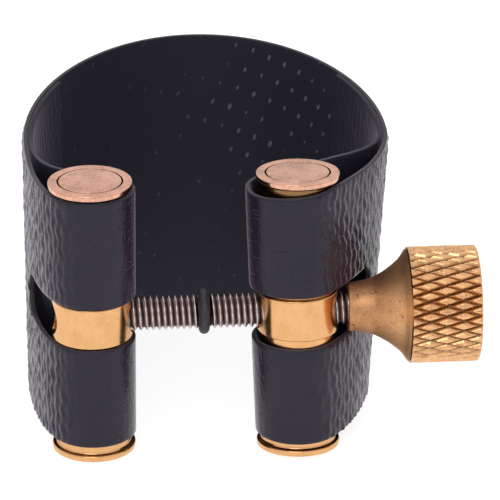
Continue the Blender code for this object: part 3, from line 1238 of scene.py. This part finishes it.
@dataclass(frozen=True)
class Ruling:
    """A straight line up the strap, given by its point and the strap's normal at either end.

    Attributes:
        bottom: Point and normal at height 0.
        top: Point and normal at the top height.
        top_height: The height of the front's upper edge.
    """

    bottom: tuple[Vector, Vector]
    top: tuple[Vector, Vector]
    top_height: float

    def at(self, height: float) -> tuple[Vector, Vector]:
        """The line's point and the strap's normal at a height.

        Args:
            height: The height.

        Returns:
            The point and the unit normal.
        """
        share = height / self.top_height
        point = self.bottom[0].lerp(self.top[0], share)
        return point, self.bottom[1].lerp(self.top[1], share).normalized()


@dataclass(frozen=True)
class Column:
    """One column of the strap's grid.

    Attributes:
        half: Its half of the strap.
        number: Its number on that half, from the back of the ring.
        distance: Its distance along the strap from the back of the ring, less than zero on the left.
        window: The window's half height there, or None where the strap is whole.
    """

    half: HalfStrap
    number: int
    distance: float
    window: float | None


@dataclass(frozen=True)
class Strap:
    """The whole strap, one band with both its loops, windows and glued flaps."""

    drawing: Drawing
    finish: bpy.types.Material
    right: HalfStrap
    left: HalfStrap
    lowest: float
    edge_round: float = 0.09
    edge_steps: int = 3
    band_rows: int = 42
    window_rows: int = 4
    column_pitch: float = 0.72
    bump_pitch: float = 1.6
    relief: float = 0.17
    sway: float = 0.10
    drift: float = 0.5
    ridge_power: float = 1.2
    on_loop: float = 0.08
    on_flap: float = 0.35
    loop_blend: float = 0.2
    bend_reach: float = 4.0

    def build(self) -> list[bpy.types.Object]:
        """Builds the strap as one piece that runs round the back of the ring.

        Returns:
            The strap alone.
        """
        columns = self.columns()
        shares = self.row_shares()
        outer, inner, outer_place, inner_place = [], [], [], []
        for column in columns:
            lines = self.column_points(column, shares)
            for grid, line in zip((outer, inner, outer_place, inner_place), lines):
                grid.append(line)
        grids = [np.array(grid) for grid in (outer, inner, outer_place, inner_place)]
        mesh, places = self.skin(*grids, [column.window for column in columns])
        piece = make_piece("leatherette_strap", mesh, self.drawing.matrix, self.finish, places, 55)
        back_y = self.right.ring_depth - self.right.thickness / 2
        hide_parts("strap_right", "strap_left")
        self.drawing.point(self.bend_reach, back_y, SCREW_Z)
        self.drawing.point(-self.bend_reach, back_y, SCREW_Z)
        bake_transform(piece)
        return [piece]

    def columns(self) -> list[Column]:
        """The strap's columns from the left flap's end round the back to the right flap's end.

        Returns:
            The columns.
        """
        columns = []
        for half, other, way in ((self.left, self.right, -1), (self.right, self.left, 1)):
            path = half.path(SCREW_Z, other)
            lengths = distances(path)
            windows = half.window(path)
            found = [Column(half, i, way * lengths[i], windows[i]) for i in range(len(path))]
            columns += found[:0:-1] if way < 0 else found
        return columns

    def row_shares(self) -> list[tuple[int, float, float]]:
        """The rows of one column, from the bottom edge to the top one.

        Returns:
            For each row its band (0 below the window, 1 across it, 2 above), how far up that band it is,
            and how far it is moved from there, in millimetres, for the rounding of the edges.
        """
        quarter = [math.pi / 2 * step / self.edge_steps for step in range(self.edge_steps)]
        rounding = [self.edge_round * (1 - math.cos(angle)) for angle in quarter]
        band = [(0.0, reach) for reach in rounding]
        band += [(row / self.band_rows, self.edge_round * (1 - 2 * row / self.band_rows))
                 for row in range(self.band_rows + 1)]
        band += [(1.0, -reach) for reach in reversed(rounding)]
        middle = [(row / self.window_rows, 0.0) for row in range(1, self.window_rows)]
        return [(number, *row) for number, rows in enumerate((band, middle, band)) for row in rows]

    def column_points(self, column: Column, shares: list) -> tuple[list, list, list, list]:
        """One column's points on both faces.

        Args:
            column: The column.
            shares: The rows, as row_shares() gives them.

        Returns:
            Points on the outer face and the inner face, and the pattern's place for each.
        """
        half, distance = column.half, column.distance
        ruling = self.rulings[half.side][column.number]
        low, high = half.edges((ruling.bottom[0] + ruling.top[0]) / 2, self.lowest)
        gap = column.window or half.window_least
        spans = ((low, SCREW_Z - gap), (SCREW_Z - gap, SCREW_Z + gap), (SCREW_Z + gap, high))
        pulled = self.stretched(column)
        outer, inner, outer_place, inner_place = [], [], [], []
        for band, share, nudge in shares:
            start, end = spans[band]
            height = start + (end - start) * share + nudge
            point, normal = ruling.at(height)
            to_edge = min(height - low, high - height)
            if column.window is not None:
                to_edge = min(to_edge, abs(abs(height - SCREW_Z) - gap))
            tuck = max(0.0, self.edge_round - to_edge)
            rounding = math.sqrt(max(0.0, self.edge_round ** 2 - tuck ** 2))
            reach = half.thickness / 2 - self.edge_round + rounding
            relief = pulled * self.weave(distance, height) if to_edge > self.edge_round else 0.0
            for sign, line, places, lift in ((1, outer, outer_place, relief),
                                             (-1, inner, inner_place, 0.0)):
                flat = point + normal * sign * (reach + lift)
                line.append((half.side.value * flat.x, flat.y, height))
                places.append((distance, height, sign * reach / (half.thickness / 2)))
        return outer, inner, outer_place, inner_place

    def stretched(self, column: Column) -> float:
        """How much of the weave still stands proud, little where the loop pulls it flat.

        Args:
            column: The column.

        Returns:
            The share of the full relief.
        """
        half, number = column.half, column.number
        inside = min(number - half.loop_start, half.loop_end - number)
        in_loop = inside / (self.loop_blend * half.loop_steps)
        beside_loop = 1.0 if 2 * number < half.loop_start + half.loop_end else self.on_flap
        return self.on_loop + (beside_loop - self.on_loop) * (1 - min(1.0, max(0.0, in_loop)))

    @cached_property
    def rulings(self) -> dict[Side, list[Ruling]]:
        """The straight line up the strap at each column of either half.

        Returns:
            The lines by side, in the order of the columns' numbers.
        """
        table = {}
        for half, other in ((self.right, self.left), (self.left, self.right)):
            paths = [half.path(height, other) for height in (0.0, half.top_front)]
            bottom, top = ([*zip(path, side_normals(path))] for path in paths)
            table[half.side] = [Ruling(low, high, half.top_front) for low, high in zip(bottom, top)]
        return table

    def weave(self, distance: float, height: float) -> float:
        """How far the weave under the vinyl stands proud: columns of long bumps, set like bricks.

        Args:
            distance: Distance along the strap.
            height: Height on the strap.

        Returns:
            The height of the relief.
        """
        phase = 2 * math.pi * height / self.bump_pitch
        sway = self.sway * math.sin(phase + 0.9 * math.sin(0.7 * distance))
        drift = self.drift * noise.noise(Vector((0.45 * distance, 0.35 * height, 1.7)))
        across = (distance + sway + drift) / self.column_pitch
        number = math.floor(across)
        ridge = math.sin(math.pi * (across - number)) ** self.ridge_power
        cell = height / self.bump_pitch + 0.5 * (number % 2)
        swell = 0.5 + 0.5 * math.cos(2 * math.pi * cell)
        uneven = 0.8 + 0.5 * noise.noise(Vector((number * 1.3, cell * 1.1, 4.2)))
        return self.relief * ridge * (0.5 + 0.5 * swell) * uneven

    def skin(self, outer: np.ndarray, inner: np.ndarray, outer_place: np.ndarray,
             inner_place: np.ndarray, windows: list[float | None]) -> tuple[bpy.types.Mesh, np.ndarray]:
        """Covers the two grids and joins them wherever a filled cell meets an open one.

        Args:
            outer: Points of the outer face, by column and row.
            inner: Points of the inner face.
            outer_place: The pattern's place on the outer face.
            inner_place: The pattern's place on the inner face.
            windows: The window's half height at each column, or None.

        Returns:
            The mesh, and the pattern's place of each of its vertices.
        """
        column_count, row_count = outer.shape[:2]
        window_start = self.band_rows + 2 * self.edge_steps
        window_cells = range(window_start, window_start + self.window_rows)
        offset = column_count * row_count

        def filled(i: int, k: int) -> bool:
            """Whether a cell is part of the strap.

            Args:
                i: The column before the cell.
                k: The row below it.

            Returns:
                False in a window and beyond the strap's edges.
            """
            if not (0 <= i < column_count - 1 and 0 <= k < row_count - 1):
                return False
            return k not in window_cells or windows[i] is None or windows[i + 1] is None

        faces = []
        for i in range(column_count - 1):
            for k in range(row_count - 1):
                if not filled(i, k):
                    continue
                a, b = i * row_count + k, (i + 1) * row_count + k
                faces.append((a, a + 1, b + 1, b))
                faces.append((b + offset, b + 1 + offset, a + 1 + offset, a + offset))
                for neighbour, p, q in (((i - 1, k), a, a + 1), ((i + 1, k), b + 1, b),
                                        ((i, k - 1), b, a), ((i, k + 1), a + 1, b + 1)):
                    if not filled(*neighbour):
                        faces.append((q, p, p + offset, q + offset))
        points = np.concatenate([outer.reshape(-1, 3), inner.reshape(-1, 3)])
        places = np.concatenate([outer_place.reshape(-1, 3), inner_place.reshape(-1, 3)])
        used = np.zeros(len(points), bool)
        used[np.unique(np.array(faces))] = True
        renumber = np.cumsum(used) - 1
        mesh = bpy.data.meshes.new("made")
        mesh.from_pydata(points[used].tolist(), [], renumber[np.array(faces)].tolist())
        return mesh, places[used]


# --- studio ---------------------------------------------------------------------------------------


@dataclass(frozen=True)
class Studio:
    """A white light tent: pale floor, white surroundings, one large soft light, and the camera.

    Places are in millimetres; the floor and the light are sized in metres.
    """

    drawing: Drawing
    camera_from_screw: Triple = (-18.395, -308.783, 139.415)
    look_azimuth: float = math.radians(-4.247)
    look_down: float = math.radians(23.411)
    lens: float = 296.18
    sensor: float = 36.0
    clip_start: float = 0.01
    sky: tuple[tuple[float, float], ...] = ((0.0, 0.3), (0.26, 1.04), (0.41, 0.85), (0.75, 1.05))
    floor_tones: tuple[Colour, Colour] = ((0.35, 0.35, 0.35), (0.37, 0.37, 0.37))
    floor_mottle: float = 3.0
    floor_roughness: float = 0.9
    floor_light: Colour = (1.0, 1.0, 1.0)
    floor_glow: float = 0.83
    floor_half_size: float = 2.0
    lamp_place: Triple = (-120.0, -420.0, 420.0)
    lamp_size: tuple[float, float] = (0.3, 0.22)
    lamp_energy: float = 0.5

    def build(self) -> list[bpy.types.Object]:
        """Builds the surroundings and the camera.

        Returns:
            The floor, the light and the camera.
        """
        bpy.context.scene.world = self.tent()
        bpy.context.scene.view_settings.view_transform = "Standard"
        return [self.floor(), self.soft_light(), self.camera()]

    def tent(self) -> bpy.types.World:
        """The surroundings, grey at the horizon and white overhead.

        Returns:
            The world.
        """
        shader = Shader(bpy.data.worlds.new("tent"), "Background")
        _, _, up = shader.split(shader.add("ShaderNodeTexCoord", output="Generated"))
        return shader.dress(Color=shader.add("ShaderNodeValToRGB", {"stops": self.sky}, {"Fac": up}))

    def floor(self) -> bpy.types.Object:
        """A plain pale floor under the ligature.

        Returns:
            The floor, which is only there for the picture.
        """
        half = self.floor_half_size
        mesh = bpy.data.meshes.new("floor")
        corners = [(-half, -half, 0.0), (half, -half, 0.0), (half, half, 0.0), (-half, half, 0.0)]
        mesh.from_pydata(corners, [], [(0, 1, 2, 3)])
        shader = Shader.material("pale_floor")
        mottle = shader.noise(shader.add("ShaderNodeTexCoord", output="Object"), self.floor_mottle)
        tone = shader.colours(mottle, *self.floor_tones)
        mesh.materials.append(shader.dress(Base_Color=tone, Roughness=self.floor_roughness,
                                           Emission_Color=self.floor_light,
                                           Emission_Strength=self.floor_glow))
        floor = bpy.data.objects.new("floor", mesh)
        bpy.context.scene.collection.objects.link(floor)
        return floor

    def soft_light(self) -> bpy.types.Object:
        """A broad soft light above and in front, a little to the left.

        Returns:
            The light.
        """
        lamp = bpy.data.lights.new("front_softbox", "AREA")
        lamp.shape = "RECTANGLE"
        lamp.size, lamp.size_y = self.lamp_size
        lamp.energy = self.lamp_energy
        light = bpy.data.objects.new("front_softbox", lamp)
        place = self.drawing.point(*self.lamp_place)
        to_screw = self.drawing.point(0, 0, SCREW_Z) - place
        light.location = place
        light.rotation_euler = to_screw.to_track_quat("-Z", "Y").to_euler()
        bpy.context.scene.collection.objects.link(light)
        return light

    def camera(self) -> bpy.types.Object:
        """The camera, a long lens a little above and to the left of the front.

        Returns:
            The camera.
        """
        lens = bpy.data.cameras.new("camera")
        lens.lens = self.lens
        lens.sensor_width = self.sensor
        lens.clip_start = self.clip_start
        camera = bpy.data.objects.new("camera", lens)
        camera.location = self.drawing.point(0, 0, SCREW_Z) + Vector(self.camera_from_screw) * MM
        camera.rotation_euler = (math.pi / 2 - self.look_down, 0.0, self.look_azimuth)
        bpy.context.scene.collection.objects.link(camera)
        bpy.context.scene.camera = camera
        return camera


def make_strap(drawing: Drawing, finish: bpy.types.Material) -> Strap:
    """The strap with both halves' sizes.

    Args:
        drawing: The drawing.
        finish: The strap's finish.

    Returns:
        The strap, ready to build.
    """
    lowest = (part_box("strap_right")[0].z / MM) - drawing.zero.z
    right = HalfStrap(Side.RIGHT, drawing.half_spacing, side_x_top=16.75, side_x_bottom=15.2,
                      lean=RIGHT_LEAN, wall_leaves=math.radians(-41), flap_leaves=math.radians(-254),
                      wall_handles=(4.0, 4.0), flap_handles=(4.2, 3.6), slack_top=0.83,
                      edge_drop=0.55, window_half=2.25, window_wall_end=4.6)
    left = HalfStrap(Side.LEFT, drawing.half_spacing, side_x_top=13.68, side_x_bottom=13.6,
                     lean=0.0, wall_leaves=math.radians(-35), flap_leaves=math.radians(-255),
                     wall_handles=(4.0, 3.0), flap_handles=(3.6, 4.7), slack_top=0.17,
                     edge_drop=0.0, window_half=1.87, window_wall_end=6.0)
    return Strap(drawing, finish, right, left, lowest)


def main() -> None:
    """Builds every sub-assembly."""
    logging.basicConfig(level=logging.INFO, format="%(name)s: %(message)s")
    drawing = Drawing.from_frame()
    brass = TurnedMetal("post_brass_turned", (0.75, 0.41, 0.18), (0.80, 0.44, 0.31), SCREW_Z).make()
    parts = [Studio(drawing), make_strap(drawing, Leatherette().make()),
             Post(Side.RIGHT, drawing, brass, RIGHT_LEAN, hole_radius=1.56),
             Post(Side.LEFT, drawing, brass),
             ThumbScrew(drawing, ThreadMetal().make(), RawMetal().make(), Rubber().make())]
    for part in parts:
        for piece in part.build():
            size = len(piece.data.polygons) if piece.type == "MESH" else 0
            LOG.info("%s: %s, %d faces", type(part).__name__, piece.name, size)


if __name__ == "__main__":
    main()
